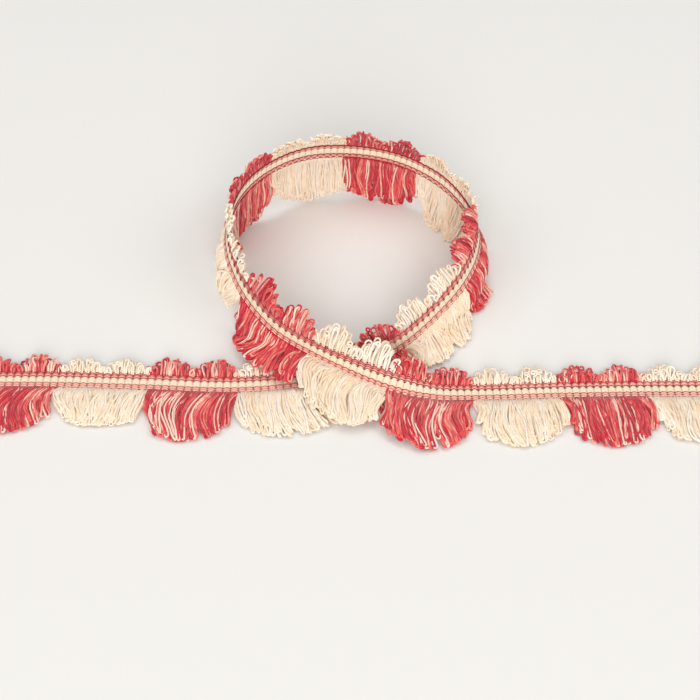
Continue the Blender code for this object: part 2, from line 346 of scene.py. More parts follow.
class Tubes:
    """Gathers yarn tubes and turns them into one mesh."""

    def __init__(self, sides=5):
        self.sides = sides
        self.points, self.quads, self.caps = [], [], []
        self.around, self.far, self.tone = [], [], []
        self.count = 0

    def rings(self, line, top, radius):
        """Points of the rings around a line."""
        way = unit(np.gradient(line, axis=0))
        left = unit(np.cross(top, way))
        top = np.cross(way, left)
        angle = np.arange(self.sides) * 2 * math.pi / self.sides
        ring = (np.cos(angle)[None, :, None] * left[:, None, :]
                + np.sin(angle)[None, :, None] * top[:, None, :])
        radius = np.broadcast_to(radius, (len(line),))[:, None, None]
        return (line[:, None, :] + ring * radius).reshape(-1, 3)

    def add_corner_places(self, line):
        """Place of each quad's corners, around the tube and in millimetres along it."""
        k, n = self.sides, len(line)
        steps = np.linalg.norm(np.diff(line, axis=0), axis=1)
        far = np.concatenate(([0.0], np.cumsum(steps)))
        own = np.broadcast_to(np.arange(k)[None, :] / k, (n - 1, k))
        after = own + 1.0 / k
        near_end = np.broadcast_to(far[:-1, None], (n - 1, k))
        far_end = np.broadcast_to(far[1:, None], (n - 1, k))
        self.around.append(np.stack([own, after, after, own], -1).reshape(-1))
        self.far.append(np.stack([near_end, near_end, far_end, far_end], -1).reshape(-1))

    def add(self, line, top, radius, tone):
        """One closed tube along a line; its radius and tone may change along it."""
        k, n = self.sides, len(line)
        self.points.append(self.rings(line, top, radius))
        i, j = sleeve_corners(n, k)
        self.quads.append(np.stack([i, j, j + k, i + k], -1).reshape(-1, 4) + self.count)
        self.caps.append(np.arange(k)[::-1] + self.count)
        self.caps.append(np.arange(k) + self.count + (n - 1) * k)
        self.add_corner_places(line)
        self.tone.append(np.broadcast_to(tone, (n * k,)))
        self.count += n * k

    def mesh(self, name):
        """All gathered tubes as a bare mesh, quads first and end caps after them."""
        points = to_part(np.concatenate(self.points))
        quads = np.concatenate(self.quads)
        caps = np.array(self.caps)
        corners = np.concatenate([quads.ravel(), caps.ravel()])
        cap_starts = quads.size + np.arange(len(caps)) * self.sides
        starts = np.concatenate([np.arange(len(quads)) * 4, cap_starts])
        mesh = bpy.data.meshes.new(name)
        mesh.vertices.add(len(points))
        mesh.vertices.foreach_set("co", points.astype(np.float32).ravel())
        mesh.loops.add(len(corners))
        mesh.loops.foreach_set("vertex_index", corners)
        mesh.polygons.add(len(starts))
        mesh.polygons.foreach_set("loop_start", starts.astype(np.int32))
        mesh.update(calc_edges=True)
        mesh.validate()
        mesh.polygons.foreach_set("use_smooth", np.ones(len(starts), bool))
        return mesh

    def build(self, name, material):
        """The gathered tubes as one object in the scene."""
        mesh = self.mesh(name)
        around = np.concatenate(self.around)
        pairs = np.zeros((len(mesh.loops), 2), np.float32)
        pairs[:len(around), 0] = around
        pairs[:len(around), 1] = np.concatenate(self.far)
        add_uv(mesh, pairs)
        add_values(mesh, "tone", np.concatenate(self.tone))
        mesh.materials.append(material)
        return add_object(name, mesh)


# Widest half-opening of a loop's tip, as a share of its length, and how early it is reached
WIDEST_TIP = 0.35
OPEN_EARLY = 1.05


def loop_track(length, near_half, tip_half, leg_points=10, tip_points=7, late=1.2):
    """Distance along and half-opening of a loop: down one leg, round the tip and back."""
    tip_half = min(tip_half, length * WIDEST_TIP)
    straight = length - tip_half
    x = np.linspace(0, 1, leg_points)
    half = near_half + (tip_half - near_half) * smooth(x * OPEN_EARLY) ** late
    angle = np.linspace(0, math.pi, tip_points + 2)[1:-1]
    far = np.concatenate([x * straight, straight + tip_half * np.sin(angle), x[::-1] * straight])
    side = np.concatenate([half, tip_half * np.cos(angle), -half[::-1]])
    return far, side


# Curled loops: where their curl starts and ends, its points, how much it tightens, and the
# points and side of the stem under it
CURL_START = -0.5 * math.pi
CURL_END = 2.0 * math.pi
CURL_POINTS = 13
CURL_TIGHT = 0.3
STEM_POINTS = 4
STEM_SIDE = 0.2


def rosette_track(length, size):
    """Track of a short loop that ends in a curl: up one side, then round and inward."""
    turn = np.linspace(CURL_START, CURL_END, CURL_POINTS)
    around = size * np.linspace(1.0, CURL_TIGHT, CURL_POINTS)
    curl_middle = length - size
    stem = np.linspace(0, curl_middle - size, STEM_POINTS)
    far = np.concatenate([stem, curl_middle + around * np.sin(turn)])
    side = np.concatenate([np.linspace(STEM_SIDE, 0.0, STEM_POINTS), around * np.cos(turn)])
    return far, side


# Soft waves in a fan: how many, how large, and how many pass across the fan and down it; then
# how the table's stray peaks halfway, grows towards the tip and stops just past it
STRAY_WAVES = 4
STRAY_SIZE = 0.9
STRAY_SHARE = (0.5, 1.0)
WAVES_ACROSS = (0.6, 2.8)
WAVES_DOWN = (0.3, 1.0)
HALF_PEAK = 1.3
TIP_LATE = 1.6
PAST_TIP = 1.1


class Stray:
    """How far the loops of one fan stray sideways: by its table, and in a few soft waves."""

    def __init__(self, row):
        self.halves = [row["half_first"], row["half_mid"], row["half_last"]]
        self.tips = [row["tip_first"], row["tip_mid"], row["tip_last"]]
        self.waves = [self.wave() for _ in range(STRAY_WAVES)]

    def wave(self):
        """One soft wave: its count across and down the fan, its start and its size."""
        return (rng.uniform(*WAVES_ACROSS), rng.uniform(*WAVES_DOWN), rng.uniform(0, TURN),
                STRAY_SIZE * rng.uniform(*STRAY_SHARE))

    def at(self, u, x):
        """Millimetres towards the far end, at u across the fan and x down the loop."""
        places = (0.0, 0.5, 1.0)
        x = np.clip(x, 0, PAST_TIP)
        out = np.interp(u, places, self.halves) * arch(x) ** HALF_PEAK
        out = out + np.interp(u, places, self.tips) * x ** TIP_LATE
        for across, down, start, size in self.waves:
            out = out + size * x * np.sin(TURN * (across * u + down * x) + start)
        return out


# How early a loop's spin is complete, how a yarn's small steps are softened, and the room
# left at a rib's two sides, counted in loops
SPIN_EARLY = 1.4
SOFTEN = (0.25, 0.5, 0.25)
EDGE_ROOM = 0.4


def spin(side, x, twist):
    """Turns a loop about its own length, more towards its tip: its new side, and its rise."""
    turn = twist * smooth(x * SPIN_EARLY)
    return side * np.cos(turn), np.abs(side) * np.abs(np.sin(turn)) + side * np.sin(turn)


def wander(count, size):
    """Small soft steps off a yarn's even line."""
    return np.convolve(rng.normal(0, size, count + 2), SOFTEN, "valid")


def over_table(line, radius):
    """Lifts a line where its yarn would sink into the table."""
    line[:, 2] = np.maximum(line[:, 2], radius + OFF_TABLE)
    return line


def spread(k, count):
    """Even places of a rib's loops, sideways from its middle."""
    return (k - (count - 1) / 2) * RIB_PITCH / (count + EDGE_ROOM)


# Yarn tones run from 0, deepest, to 1, palest; only a fan's pale yarns go past MOST_TONE
MOST_TONE = 0.85
PALE_TONE = 1.0

# Lift of the first layer, how far single loops lie below or above their own layer, and the
# share of a loop's spin that lifts it
BASE_LIFT = 0.1
UNEVEN = (-0.1, 0.2)
SPIN_LIFT = 0.6

# Long loops: what is added to their fan's outline, their strand's spare length, the shortest
# and the half-openings at root and tip, then how far ribs drift and loops bow, curl and twist,
# which share is crossed by a stronger twist, and how far yarns wander
LONG_ADDED = 1.6
LONG_SPARE = 1.06
LONG_SHORTEST = 0.78
LONG_NEAR = (0.3, 0.9)
LONG_TIP = (0.5, 1.1)
DRIFT = 0.4
BOW = 0.35
CURL = 0.3
TWIST = 0.5
CROSSED_SHARE = 0.3
CROSSED_TWIST = 2.4
LONG_WANDER = 0.14

# A few long loops lie loose on top of the others, with a wider bow
LOOSE_SHARE = 0.1
LOOSE_BOW = 1.5
LOOSE_WIDE = 1.6
LOOSE_LAYER = 3.4

# Layers of long loops: how they are shuffled from loop to loop and rib to rib, their step and
# what it lifts, how wide a rib spreads, how much of that its top layer loses halfway down, and
# how loops rise at the root and settle near the tip
LOOP_JUMP = 5
RIB_JUMP = 3
LAYER_STEP = 0.48
LAYER_RISE = 0.55
RIB_SPREAD = 1.1
CLOSE_UP = 0.5
RISEN_BY = 5.0
SETTLE_FROM = 0.7
SETTLE = 0.45

# Inner layers have thicker yarns, which fill the fan between the outer ones; they are painted deeper
# in tone as painted shade between the outer strands, while tones also spread at random as the yarn's
# own mix
INNER_THICK = 1.6
OUTER_THINNER = 0.68
THICK_WANDER = 0.07
INNER_TONE = -0.03
INNER_PAINTED_SHADE = 0.46
TONE_SPREAD = 0.27


class LongRib:
    """The long loops of one rib of a fan."""

    def __init__(self, fan, rib, stray):
        row = FAN[fan]
        self.rib = rib
        self.stray = stray
        self.u = (rib + 0.5) / RIBS
        at = FIRST + fan + self.u
        reach = LONG_REACH * float(lay("reach", at)) * row["long"]
        self.full = reach * fan_edge(row, self.u) + LONG_ADDED
        self.strand = Strand(at, "long", self.full * LONG_SPARE)
        self.drift = rng.normal(0, DRIFT)
        self.pale = rng.random() < row["pale"]

    def sideways(self, k, x, side, share, loose):
        """How far loop k lies to the side of the strand, and how far its spin lifts it."""
        centre = spread(k, LOOPS)
        centre = centre * (RIB_SPREAD - CLOSE_UP * share * arch(x))
        bow = rng.normal(0, LOOSE_BOW if loose else BOW)
        curl = rng.normal(0, CURL)
        crossed = rng.random() < CROSSED_SHARE
        twist = rng.choice((-CROSSED_TWIST, CROSSED_TWIST)) if crossed else rng.normal(0, TWIST)
        side, rise = spin(side, x, twist)
        sideways = centre + side + self.stray.at(self.u, x) + self.drift * x
        sideways = sideways + bow * arch(x) * (LOOSE_WIDE if loose else 1.0)
        sideways = sideways + curl * np.sin(TURN * x + k) + wander(len(x), LONG_WANDER)
        return sideways, rise

    def height(self, x, far, rise, layer):
        """How high a loop of this layer lies over the strand."""
        height = BASE_LIFT + LAYER_RISE * layer + rng.uniform(*UNEVEN)
        height = height * smooth(far / RISEN_BY)
        settled = smooth((x - SETTLE_FROM) / (1 - SETTLE_FROM))
        height = height * (1 - SETTLE * settled) + SPIN_LIFT * rise
        return height + np.abs(wander(len(x), LONG_WANDER))

    def tone(self, outer):
        """Tone of a loop: painted deeper in the inner layers as painted shade, lighter in the outer
        layers.
        """
        if self.pale and outer == 1:
            return PALE_TONE
        # Painted shade: inner layers get deeper tones and outer ones paler; the random spread is the
        # yarn's own mix.
        return np.clip(rng.normal(INNER_TONE + INNER_PAINTED_SHADE * outer, TONE_SPREAD), 0, MOST_TONE)

    def loop(self, k):
        """Line, tops, radius and tone of loop k; share counts its layer from 0 to 1."""
        level = (k * LOOP_JUMP + self.rib * RIB_JUMP) % LOOPS
        share = level / (LOOPS - 1)
        outer = abs(2 * share - 1)
        full_length = k == FULL_LOOP or level == LOOPS - 1
        length = self.full * (1.0 if full_length else rng.uniform(LONG_SHORTEST, 1.0))
        loose = rng.random() < LOOSE_SHARE
        far, side = loop_track(length, rng.uniform(*LONG_NEAR), rng.uniform(*LONG_TIP))
        x = far / self.full
        sideways, rise = self.sideways(k, x, side, share, loose)
        layer = LOOSE_LAYER if loose else level * LAYER_STEP
        line, top = self.strand.place(far, sideways, self.height(x, far, rise, layer))
        tone = self.tone(outer)
        thick = YARN_R * (INNER_THICK - OUTER_THINNER * outer)
        thick = thick * (1 + wander(len(x), THICK_WANDER))
        return over_table(line, thick), top, thick, tone


def long_loops(fan):
    """Every long loop of one fan."""
    tubes = Tubes()
    stray = Stray(FAN[fan])
    for rib in range(RIBS):
        long_rib = LongRib(fan, rib, stray)
        for k in range(LOOPS):
            tubes.add(*long_rib.loop(k))
    return tubes


# Short loops: what is added to the scallops' outline, their strand's spare length, how many
# degrees a rib leans beyond its fan's lean, the lengths of all but one loop, and the
# half-openings at root and tip, then how far they splay over each hump, lean sideways, twist
# and rise over each other
SHORT_ADDED = 0.9
SHORT_SPARE = 1.08
SHORT_LIFT = (-8, 10)
SHORT_LENGTHS = (0.7, 0.98)
SHORT_NEAR = (0.2, 0.7)
SHORT_TIP = (0.8, 1.6)
SHORT_LATE = 1.8
SHORT_LEG_POINTS = 7
SPLAY = 2.4
SHORT_LEAN = 0.5
SHORT_TWIST = 0.9
SHORT_LAYER_RISE = 0.5
SHORT_RISEN_BY = 3.0
SHORT_WANDER = 0.12
SHORT_THICK = (0.92, 1.08)
SHORT_PALE = 0.7
SHORT_TONE = 0.06
SHORT_LAYER_PAINTED_LIGHT = 0.15
SHORT_TONE_SPREAD = 0.25

# The topmost short loop of a long enough rib is sometimes curled
CURLED_FROM = 4.5
CURLED_SHARE = 0.4
ROSETTE_SIZE = (1.1, 1.6)
ROSETTE_LIFT = 0.9


class ShortRib:
    """The short loops of one rib over a fan."""

    def __init__(self, fan, rib):
        row = FAN[fan]
        u = (rib + 0.5) / RIBS
        self.hump = 2 * u % 1.0 - 0.5
        self.full = SHORT_REACH * row["short"] * scallop_edge(u) + SHORT_ADDED
        lift = row["lean"] + rng.uniform(*SHORT_LIFT)
        self.strand = Strand(FIRST + fan + u, "short", self.full * SHORT_SPARE, lift=lift)
        self.pale = rng.random() < SHORT_PALE * row["pale"]

    def rosette(self, length):
        """Track of a curled loop, and how far it is lifted along it."""
        far, side = rosette_track(length, rng.uniform(*ROSETTE_SIZE))
        side = side * rng.choice((-1, 1))
        return far, side, np.linspace(0, ROSETTE_LIFT, len(far))

    def plain(self, length):
        """Track of a plain loop, and how far its spin lifts it."""
        far, side = loop_track(length, rng.uniform(*SHORT_NEAR), rng.uniform(*SHORT_TIP),
                               leg_points=SHORT_LEG_POINTS, late=SHORT_LATE)
        side, rise = spin(side, far / self.full, rng.normal(0, SHORT_TWIST))
        return far, side, SPIN_LIFT * rise

    def tone(self, k):
        """Tone of loop k, painted lighter towards the top and deeper below, as painted shade under
        the upper loops.
        """
        if self.pale and k == CURLS - 2:
            return PALE_TONE
        # Painted shade: each layer upwards is a step paler than the one under it.
        mean = SHORT_TONE + SHORT_LAYER_PAINTED_LIGHT * k
        return np.clip(rng.normal(mean, SHORT_TONE_SPREAD), 0, MOST_TONE)

    def loop(self, k):
        """Line, tops, radius and tone of loop k, where k counts upwards."""
        length = self.full * (1.0 if k == FULL_LOOP else rng.uniform(*SHORT_LENGTHS))
        curled = k == CURLS - 1 and self.full > CURLED_FROM and rng.random() < CURLED_SHARE
        far, side, lift = self.rosette(length) if curled else self.plain(length)
        x = far / self.full
        sideways = spread(k, CURLS) + side + SPLAY * self.hump * x * x
        sideways = sideways + rng.normal(0, SHORT_LEAN) * x
        height = BASE_LIFT + SHORT_LAYER_RISE * k + rng.uniform(*UNEVEN)
        height = height * smooth(far / SHORT_RISEN_BY) + lift
        height = height + np.abs(wander(len(x), SHORT_WANDER))
        line, top = self.strand.place(far, sideways, height)
        thick = YARN_R * rng.uniform(*SHORT_THICK)
        return over_table(line, thick), top, thick, self.tone(k)


def short_loops(fan):
    """Every short loop over one fan, in two scallops."""
    tubes = Tubes()
    for rib in range(RIBS):
        short_rib = ShortRib(fan, rib)
        for k in range(CURLS):
            tubes.add(*short_rib.loop(k))
    return tubes


# Materials

def matt_material(name, sheen=0.25, specular=0.25):
    """A matt material with a soft sheen: itself, its node tree and its shader."""
    made = bpy.data.materials.new(name)
    made.use_nodes = True
    tree = made.node_tree
    shader = tree.nodes["Principled BSDF"]
    shader.inputs["Roughness"].default_value = 0.85
    shader.inputs["Specular IOR Level"].default_value = specular
    shader.inputs["Sheen Weight"].default_value = sheen
    shader.inputs["Sheen Roughness"].default_value = 0.5
    return made, tree, shader


def node(tree, kind, **values):
    """A new node with these settings."""
    made = tree.nodes.new(kind)
    for name, value in values.items():
        setattr(made, name, value)
    return made


def feed(tree, socket, value):
    """Sets a socket to a number or a colour, or links it to another node's output."""
    if isinstance(value, (int, float)):
        socket.default_value = value
    elif isinstance(value, tuple):
        socket.default_value = (*value, 1.0)
    else:
        tree.links.new(value, socket)


def maths(tree, operation, *values):
    """The outcome of one operation on numbers or other nodes' outputs."""
    made = node(tree, "ShaderNodeMath", operation=operation)
    for socket, value in zip(made.inputs, values):
        feed(tree, socket, value)
    return made.outputs[0]


def mix(tree, share, a, b):
    """Colour a with a share of colour b."""
    made = node(tree, "ShaderNodeMix", data_type="RGBA")
    for socket, value in ((made.inputs[0], share), (made.inputs[6], a), (made.inputs[7], b)):
        feed(tree, socket, value)
    return made.outputs[2]


def ramp(tree, value, stops):
    """A colour read from these stops."""
    made = node(tree, "ShaderNodeValToRGB")
    elements = made.color_ramp.elements
    while len(elements) < len(stops):
        elements.new(0.5)
    for element, (position, colour) in zip(elements, stops):
        element.position = position
        element.color = (*colour, 1.0)
    tree.links.new(value, made.inputs[0])
    return made.outputs[0]


def noise(tree, place, scale):
    """Soft noise read at a place."""
    made = node(tree, "ShaderNodeTexNoise")
    made.inputs["Scale"].default_value = scale
    tree.links.new(place, made.inputs["Vector"])
    return made.outputs["Fac"]


def fine_noise(tree, scale):
    """Soft noise in the object's own metres."""
    place = node(tree, "ShaderNodeTexCoord")
    return noise(tree, place.outputs["Object"], scale)


def uv_parts(tree):
    """The two numbers of the UV map."""
    uv = node(tree, "ShaderNodeUVMap", uv_map="UVMap")
    split = node(tree, "ShaderNodeSeparateXYZ")
    tree.links.new(uv.outputs[0], split.inputs[0])
    return split.outputs[0], split.outputs[1]


def point_value(tree, name):
    """The number that the mesh's points carry under this name."""
    return node(tree, "ShaderNodeAttribute", attribute_name=name).outputs["Fac"]


def wave(tree, operation, value, times=1):
    """A sine or cosine, from -1 to 1, this many times for each unit of the value."""
    return maths(tree, operation, maths(tree, "MULTIPLY", value, TURN * times))


def zero_to_one(tree, value):
    """A wave from -1 to 1 brought between 0 and 1."""
    return maths(tree, "MULTIPLY_ADD", value, 0.5, 0.5)


def srgb(r, g, b):
    """Screen colour, 0 to 255, as the linear colour that shaders take."""
    def linear(v):
        v = v / 255
        return v / 12.92 if v <= 0.04045 else ((v + 0.055) / 1.055) ** 2.4
    return linear(r), linear(g), linear(b)


def bump(tree, shader, height, strength, distance):
    """Bumps of this height, strength and distance in metres on the shader."""
    made = node(tree, "ShaderNodeBump")
    made.inputs["Strength"].default_value = strength
    made.inputs["Distance"].default_value = distance
    tree.links.new(height, made.inputs["Height"])
    tree.links.new(made.outputs[0], shader.inputs["Normal"])


# Yarn: its plies and how far they wind in a millimetre, how strongly streaks change its tone,
# how fine they are around it, along it and from tone to tone, and its fuzz
PLIES = 3.0
PLY_TURNS = 0.16
STREAK = 1.3
STREAKS_AROUND = 4.0
STREAKS_ALONG = 0.25
STREAKS_APART = 40.0
FUZZ_SCALE = 1400.0
FUZZ_HEIGHT = 0.5


def yarn_streaks(tree, around, far, tone):
    """Noise drawn out along the yarn, and different for each tone."""
    fibre = node(tree, "ShaderNodeCombineXYZ")
    tree.links.new(maths(tree, "MULTIPLY", around, STREAKS_AROUND), fibre.inputs[0])
    tree.links.new(maths(tree, "MULTIPLY", far, STREAKS_ALONG), fibre.inputs[1])
    tree.links.new(maths(tree, "MULTIPLY", tone, STREAKS_APART), fibre.inputs[2])
    return noise(tree, fibre.outputs[0], 1.0)


def yarn_material(name, stops, painted_groove_shade):
    """Soft plied yarn: streaks run along it, with painted shade in the grooves between its plies."""
    made, tree, shader = matt_material(name, sheen=0.4)
    around, far = uv_parts(tree)
    turn = maths(tree, "MULTIPLY_ADD", around, PLIES, maths(tree, "MULTIPLY", far, PLY_TURNS))
    ply = zero_to_one(tree, wave(tree, "SINE", turn))
    tone = point_value(tree, "tone")
    streak = yarn_streaks(tree, around, far, tone)
    shift = maths(tree, "ADD", tone, -0.5 * STREAK)
    colour = ramp(tree, maths(tree, "MULTIPLY_ADD", streak, STREAK, shift), stops)
    # Painted shade: the grooves between the plies are darkened towards the deepest stop.
    shade = maths(tree, "MULTIPLY", maths(tree, "SUBTRACT", 1.0, ply), painted_groove_shade)
    darkest = stops[0][1]
    tree.links.new(mix(tree, shade, colour, darkest), shader.inputs["Base Color"])
    fuzz = fine_noise(tree, FUZZ_SCALE)
    height = maths(tree, "MULTIPLY_ADD", fuzz, FUZZ_HEIGHT, ply)
    bump(tree, shader, height, strength=0.5, distance=0.00025)
    return made


RED_STOPS = (
    (0.0, srgb(192, 28, 48)),
    (0.22, srgb(222, 62, 70)),
    (0.5, srgb(242, 118, 108)),
    (0.76, srgb(250, 170, 150)),
    (0.95, srgb(255, 230, 208)),
)
CREAM_STOPS = (
    (0.0, srgb(247, 222, 191)),
    (0.4, srgb(249, 234, 214)),
    (1.0, srgb(251, 244, 233)),
)
# The last number is how deep the painted shade in the ply grooves is.
RED = yarn_material("red_yarn_plied", RED_STOPS, 0.25)
CREAM = yarn_material("cream_yarn_plied", CREAM_STOPS, 0.2)

# Woven heading: colours are read a little further from the bands' middle line between ribs
# than on them, so that the bands' edges wave; then how narrow the painted shade in the gaps
# between ribs is, its pale fibres, and the fine yarns of each rib
BAND_MIDDLE = 0.48
BETWEEN_RIBS = 1.05
LESS_ON_RIBS = -0.1
GAP_SHADE_NARROW = 7.0
WEAVE_SCALE = 700.0
FIBRE_FROM = 0.4
FIBRE_SHARE = 0.3
FIBRE_PALE = srgb(255, 248, 234)
RIB_YARNS = 4
YARN_HEIGHT = 0.35
GRAIN_HEIGHT = 0.8


def heading_material(name, bands):
    """Woven heading: bands across its width, ribs along it, in yarn colours, with painted shade in
    the gaps between ribs.
    """
    made, tree, shader = matt_material(name)
    ribs, wide = uv_parts(tree)
    rib = zero_to_one(tree, wave(tree, "COSINE", ribs))
    spread_out = maths(tree, "MULTIPLY_ADD", rib, LESS_ON_RIBS, BETWEEN_RIBS)
    from_middle = maths(tree, "ADD", wide, -BAND_MIDDLE)
    place = maths(tree, "MULTIPLY_ADD", from_middle, spread_out, BAND_MIDDLE)
    pale = ramp(tree, place, bands["pale"])
    deep = ramp(tree, place, bands["deep"])
    colour = mix(tree, point_value(tree, "warm"), pale, deep)
    # Painted shade: the narrow gaps between ribs are darkened with each band's shade colour.
    gap_shade = maths(tree, "POWER", maths(tree, "SUBTRACT", 1.0, rib), GAP_SHADE_NARROW)
    colour = mix(tree, gap_shade, colour, ramp(tree, place, bands["gap_shade"]))
    weave = fine_noise(tree, WEAVE_SCALE)
    fibre = maths(tree, "MULTIPLY", maths(tree, "ADD", weave, -FIBRE_FROM), FIBRE_SHARE)
    tree.links.new(mix(tree, fibre, colour, FIBRE_PALE), shader.inputs["Base Color"])
    yarns = maths(tree, "MULTIPLY", wave(tree, "SINE", ribs, RIB_YARNS), YARN_HEIGHT)
    height = maths(tree, "MULTIPLY_ADD", weave, GRAIN_HEIGHT, yarns)
    bump(tree, shader, height, strength=0.5, distance=0.0002)
    return made


# Colours of the heading's bands, from its upper edge, 0, to its lower edge, 1: in its palest
# and its rosiest stretches, and the painted shade in the gaps between ribs
CREAM_RIB = srgb(240, 220, 192)
CREAM_PINK = srgb(248, 208, 186)
PALE_PINK = srgb(246, 188, 168)
SALMON = srgb(236, 158, 142)
ROSE = srgb(222, 116, 108)
# Painted shade colours for the gaps between ribs, rosy in the pink bands and sage in the cream band.
SAGE_GAP_SHADE = srgb(206, 188, 156)
ROSE_GAP_SHADE = srgb(186, 98, 90)
# The back's cream is painted paler than the face's cream: painted light on the ring's shaded inner
# side.
BACK_CREAM_PAINTED_LIGHT = srgb(252, 234, 208)
BACK_GAP_SHADE = srgb(220, 200, 168)
FACE = {
    "pale": ((0.0, SALMON), (0.14, SALMON), (0.18, PALE_PINK), (0.27, PALE_PINK),
             (0.29, CREAM_RIB), (0.68, CREAM_RIB), (0.7, PALE_PINK), (0.83, PALE_PINK),
             (0.85, CREAM_PINK), (1.0, CREAM_PINK)),
    "deep": ((0.0, ROSE), (0.14, ROSE), (0.18, SALMON), (0.27, SALMON),
             (0.29, CREAM_RIB), (0.68, CREAM_RIB), (0.7, SALMON), (0.83, SALMON),
             (0.85, PALE_PINK), (1.0, PALE_PINK)),
    "gap_shade": ((0.0, ROSE_GAP_SHADE), (0.27, ROSE_GAP_SHADE), (0.3, SAGE_GAP_SHADE), (0.67, SAGE_GAP_SHADE), (0.7, ROSE_GAP_SHADE)),
}
BACK = {
    "pale": ((0.0, SALMON), (0.26, SALMON), (0.29, BACK_CREAM_PAINTED_LIGHT), (0.68, BACK_CREAM_PAINTED_LIGHT),
             (0.71, SALMON), (1.0, SALMON)),
    "deep": ((0.0, ROSE), (0.26, SALMON), (0.29, BACK_CREAM_PAINTED_LIGHT), (0.68, BACK_CREAM_PAINTED_LIGHT),
             (0.71, SALMON), (1.0, ROSE)),
    "gap_shade": ((0.0, ROSE_GAP_SHADE), (0.26, ROSE_GAP_SHADE), (0.3, BACK_GAP_SHADE), (0.67, BACK_GAP_SHADE), (0.71, ROSE_GAP_SHADE)),
}
WOVEN_FACE = heading_material("woven_face", FACE)
WOVEN_BACK = heading_material("woven_back", BACK)

THREAD_TURNS = 1.4
THREAD_STOPS = (
    (0.0, srgb(104, 34, 38)),
    (0.3, srgb(176, 44, 54)),
    (0.5, srgb(164, 82, 76)),
    (0.75, srgb(206, 126, 114)),
    (1.0, srgb(240, 204, 182)),
)


def thread_material():
    """Hard twisted thread, from burgundy to pale pink by its tone."""
    made, tree, shader = matt_material("burgundy_thread", sheen=0.0)
    colour = ramp(tree, point_value(tree, "tone"), THREAD_STOPS)
    tree.links.new(colour, shader.inputs["Base Color"])
    around, far = uv_parts(tree)
    turn = maths(tree, "MULTIPLY_ADD", far, THREAD_TURNS, around)
    bump(tree, shader, wave(tree, "SINE", turn), strength=0.4, distance=0.0001)
    return made


THREAD = thread_material()


# Heading: bands of ribs across it, each with from and to, from the upper edge, and its rise,
# the points across each band, how far the ribs sway sideways, how thick the core is to each
# side, how flat the core and the ridges are across, how round the ribs are, and how high they
# rise on the back against the face
BANDS = ((0.15, 2.35, 0.36), (2.4, 6.0, 0.3), (6.05, 7.35, 0.34), (7.4, 8.65, 0.3))
BAND_STEPS = np.array((0.0, 0.08, 0.25, 0.5, 0.75, 0.92, 1.0))
SWAY = 0.2
CORE = 0.34
CORE_FLAT = 10
RIDGE_FLAT = 4
RIB_ROUND = 0.55
BACK_RISE = 0.85
STEPS_A_RIB = 6


def heading_places():
    """Places along the lay at each step of the heading, and the same counted in ribs."""
    at = np.linspace(FIRST, FIRST + FANS, FANS * RIBS * STEPS_A_RIB + 1)
    return at, (at - FIRST) * RIBS - 0.5


def rib_height(rib, w):
    """Height of the weave over the heading's core: a rounded ridge for each rib in each band."""
    over = np.zeros_like(w)
    for near, far, rise in BANDS:
        x = np.clip((w - near) / (far - near), 0, 1)
        ridge = np.sqrt(np.maximum(0.0, 1 - (2 * x - 1) ** RIDGE_FLAT))
        over = np.maximum(over, rise * ridge)
    return np.abs(np.cos(math.pi * rib)) ** RIB_ROUND * over


def heading_rings(at, rib, w):
    """Points of the sleeve: each ring goes across the face and back across the back."""
    p, _, across, out = station(at)
    ribs, wide = np.meshgrid(rib, w, indexing="ij")
    rise = rib_height(ribs, wide)
    from_middle = np.abs(2 * wide / HEAD_WIDE - 1)
    core = CORE * np.maximum(0.0, 1 - from_middle ** CORE_FLAT) ** 0.5
    sway = wide - HEAD_WIDE / 2 - SWAY * np.cos(TURN * ribs)
    place = p[:, None, :] + sway[..., None] * across[:, None, :]
    upper = place + (core + rise)[..., None] * out[:, None, :]
    under = place - (core + BACK_RISE * rise)[..., None] * out[:, None, :]
    return np.concatenate([upper, under[:, ::-1]], 1)


def sleeve_mesh(name, rings):
    """A closed sleeve through the rings, with a flat cap at each end."""
    n, k = rings.shape[:2]
    i, j = sleeve_corners(n, k)
    quads = np.stack([i, i + k, j + k, j], -1).reshape(-1, 4)
    caps = [np.arange(k), np.arange(k)[::-1] + (n - 1) * k]
    mesh = bpy.data.meshes.new(name)
    faces = quads.tolist() + [cap.tolist() for cap in caps]
    mesh.from_pydata(to_part(rings.reshape(-1, 3)).tolist(), [], faces)
    mesh.polygons.foreach_set("use_smooth", np.ones(len(mesh.polygons), bool))
    return mesh


def add_heading_places(mesh, rib, w):
    """UV map of the heading: ribs along it, and the share of its width across it."""
    across = np.concatenate([w, w[::-1]]) / HEAD_WIDE
    u = np.repeat(rib, len(across))
    v = np.tile(across, len(rib))
    corner = np.zeros(len(mesh.loops), np.int32)
    mesh.loops.foreach_get("vertex_index", corner)
    add_uv(mesh, np.stack([u[corner], v[corner]], -1))


def woven_heading():
    """The heading as a closed sleeve: both woven faces and its two edges."""
    at, rib = heading_places()
    bands = [near + (far - near) * BAND_STEPS for near, far, _ in BANDS]
    w = np.concatenate([[0.0], *bands, [HEAD_WIDE]])
    mesh = sleeve_mesh("woven_heading", heading_rings(at, rib, w))
    add_heading_places(mesh, rib, w)
    around = 2 * len(w)
    rose = np.interp(at, FIRST + 0.5 + np.arange(FANS), [row["rose"] for row in FAN])
    add_values(mesh, "warm", np.repeat(rose, around))
    mesh.materials.append(WOVEN_FACE)
    mesh.materials.append(WOVEN_BACK)
    on_back = np.tile(np.arange(around) >= len(w), len(at) - 1)
    slots = np.concatenate([on_back, [False, False]])
    mesh.polygons.foreach_set("material_index", slots.astype(np.int32))
    mesh.update()
    return add_object("woven_heading", mesh)


